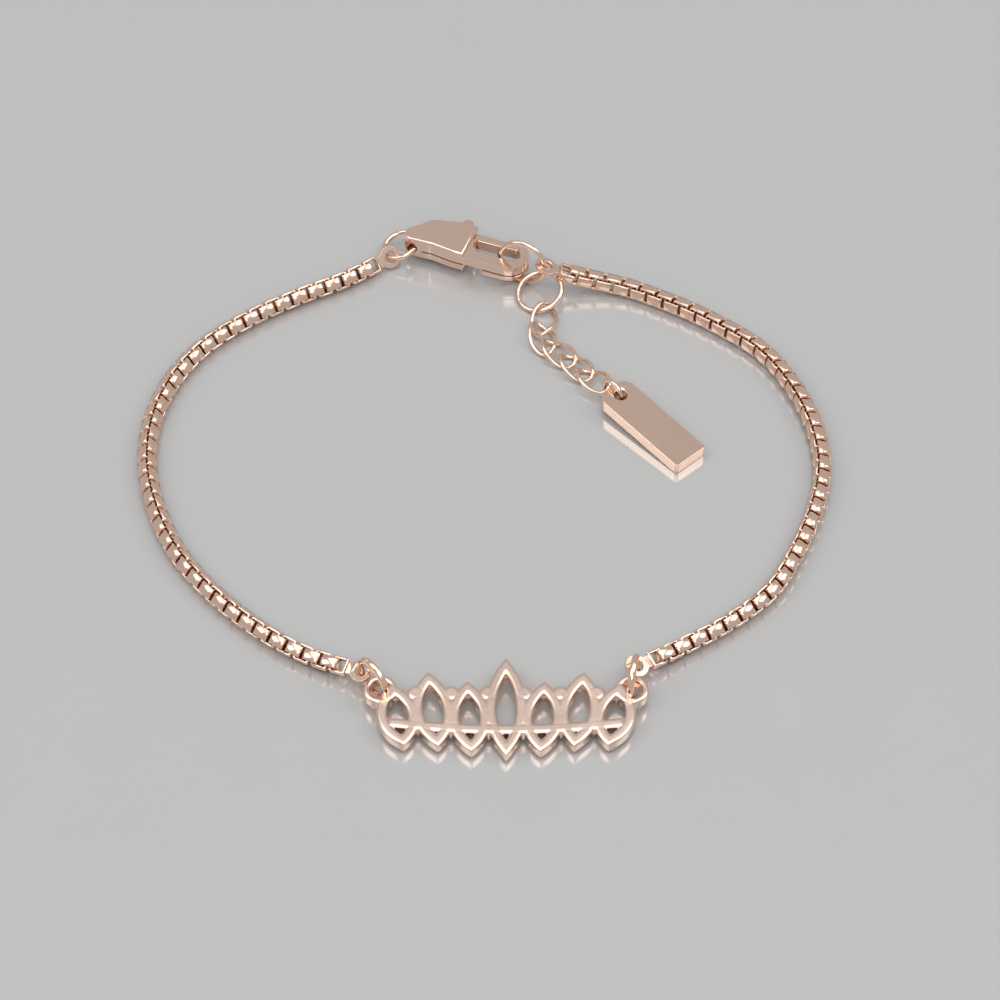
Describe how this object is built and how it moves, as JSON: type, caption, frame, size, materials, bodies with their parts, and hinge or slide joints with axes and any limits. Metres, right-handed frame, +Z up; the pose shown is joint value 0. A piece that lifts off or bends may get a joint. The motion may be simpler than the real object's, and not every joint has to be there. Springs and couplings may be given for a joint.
{
  "type": "nameplate bracelet",
  "caption": "Box-chain bracelet lying as a closed loop: openwork plate at the front, lobster clasp in a catch ring at the back, short extender chain and end tag.",
  "frame": {"origin": "middle of the loop, on the surface the bracelet lies on", "axes": "+Z up, through the loop; +Y to the clasp at the back; +X to the wearer's right as the plate faces the viewer"},
  "size_m": [0.0544, 0.0546, 0.0043],
  "materials": {
    "plate": "rose-gold plated and polished, soft satin shine",
    "chain": "rose-gold plated, polished box links",
    "rings": "rose-gold plated, polished round wire",
    "clasp": "rose-gold plated, cast and polished",
    "lever": "rose-gold plated, stamped and polished",
    "extender": "rose-gold plated, polished round wire",
    "tag": "rose-gold plated, high polish"
  },
  "bodies": {
    "bracelet": {"name_plate": "plate", "plate_ring_left": "rings", "plate_ring_right": "rings", "chain_left": "chain", "chain_right": "chain", "chain_tab_left_front": "chain", "chain_tab_left_back": "chain", "chain_tab_right_front": "chain", "chain_tab_right_back": "chain", "clasp_ring": "rings", "clasp_body": "clasp", "catch_ring": "rings", "extender_ring": "rings", "extender_link_1": "extender", "extender_link_2": "extender", "extender_link_3": "extender", "extender_link_4": "extender", "extender_link_5": "extender", "tag_ring": "rings", "end_tag": "tag"},
    "lever": {"clasp_lever": "lever"}
  },
  "joints": [
    {"name": "lever_hinge", "type": "hinge", "parent": "bracelet", "child": "lever", "pos_m": [-0.00145, 0.02527, 0.00156], "axis": [0, 0, -1], "range_deg": [0, 10], "stiffness_Nm_per_rad": 0.0004}
  ]
}
